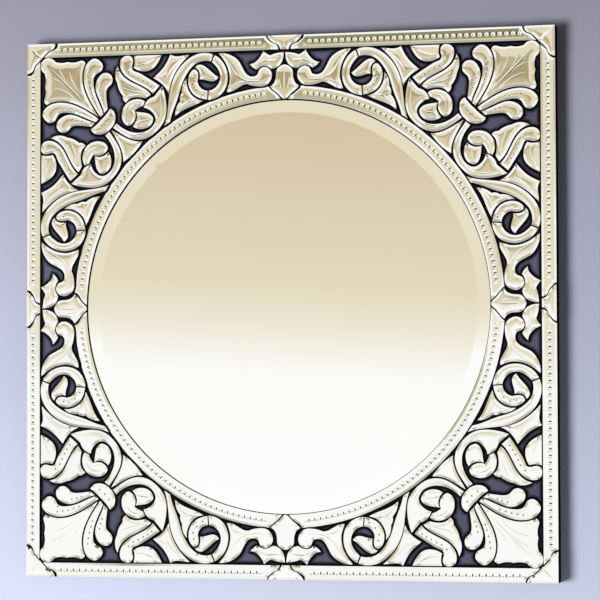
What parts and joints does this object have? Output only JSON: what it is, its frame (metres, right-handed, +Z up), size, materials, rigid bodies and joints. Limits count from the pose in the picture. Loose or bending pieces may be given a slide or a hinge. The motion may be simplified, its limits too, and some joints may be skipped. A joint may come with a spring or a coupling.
{
  "type": "framed wall mirror",
  "caption": "Square wall mirror: a round bevelled mirror in a frame of cut and bevelled mirror-glass scrollwork on a black board, with wooden rails and ring hangers behind.",
  "frame": {"origin": "middle of the back, in the plane of the wall", "axes": "+X to the viewer's right, +Y from the mirror to the wall, +Z up"},
  "size_m": [0.9, 0.033, 0.9],
  "materials": {
    "mirror_glass": "silvered glass, ground and polished edges",
    "black_board": "board with black gloss lacquer",
    "rail_wood": "softwood stained black",
    "steel": "zinc plated steel"
  },
  "bodies": {
    "mirror": {"back_panel": "black_board", "mirror_disc": "mirror_glass", "ring_arcs": "mirror_glass", "ring_keystones": "mirror_glass", "border_strips": "mirror_glass", "border_mids": "mirror_glass", "border_corners": "mirror_glass", "corner_leaves": "mirror_glass", "corner_bands": "mirror_glass", "corner_wedges": "mirror_glass", "long_plumes": "mirror_glass", "short_plumes": "mirror_glass", "crescents": "mirror_glass", "curls": "mirror_glass", "curl_leaves": "mirror_glass", "bell_leaves": "mirror_glass", "hooked_strips": "mirror_glass", "edge_leaves": "mirror_glass", "stem_leaves": "mirror_glass", "scroll_stems": "mirror_glass", "scroll_arcs": "mirror_glass", "scroll_tails": "mirror_glass", "scroll_tips": "mirror_glass", "scroll_wedges": "mirror_glass", "bulb_leaves": "mirror_glass", "mid_leaves": "mirror_glass", "top_rail": "rail_wood", "bottom_rail": "rail_wood", "left_stile": "rail_wood", "right_stile": "rail_wood", "centre_rail": "rail_wood", "hanging_rail": "rail_wood", "rail_screws": "steel", "hanger_strap_left": "steel", "hanger_strap_right": "steel", "hanger_screws": "steel"},
    "ring_left": {"hanger_ring_left": "steel"},
    "ring_right": {"hanger_ring_right": "steel"}
  },
  "joints": [
    {"name": "left_ring_swing", "type": "hinge", "parent": "mirror", "child": "ring_left", "pos_m": [-0.3, -0.0047, 0.246], "axis": [1, 0, 0], "range_deg": [0, 170]},
    {"name": "right_ring_swing", "type": "hinge", "parent": "mirror", "child": "ring_right", "pos_m": [0.3, -0.0047, 0.246], "axis": [1, 0, 0], "range_deg": [0, 170]}
  ]
}
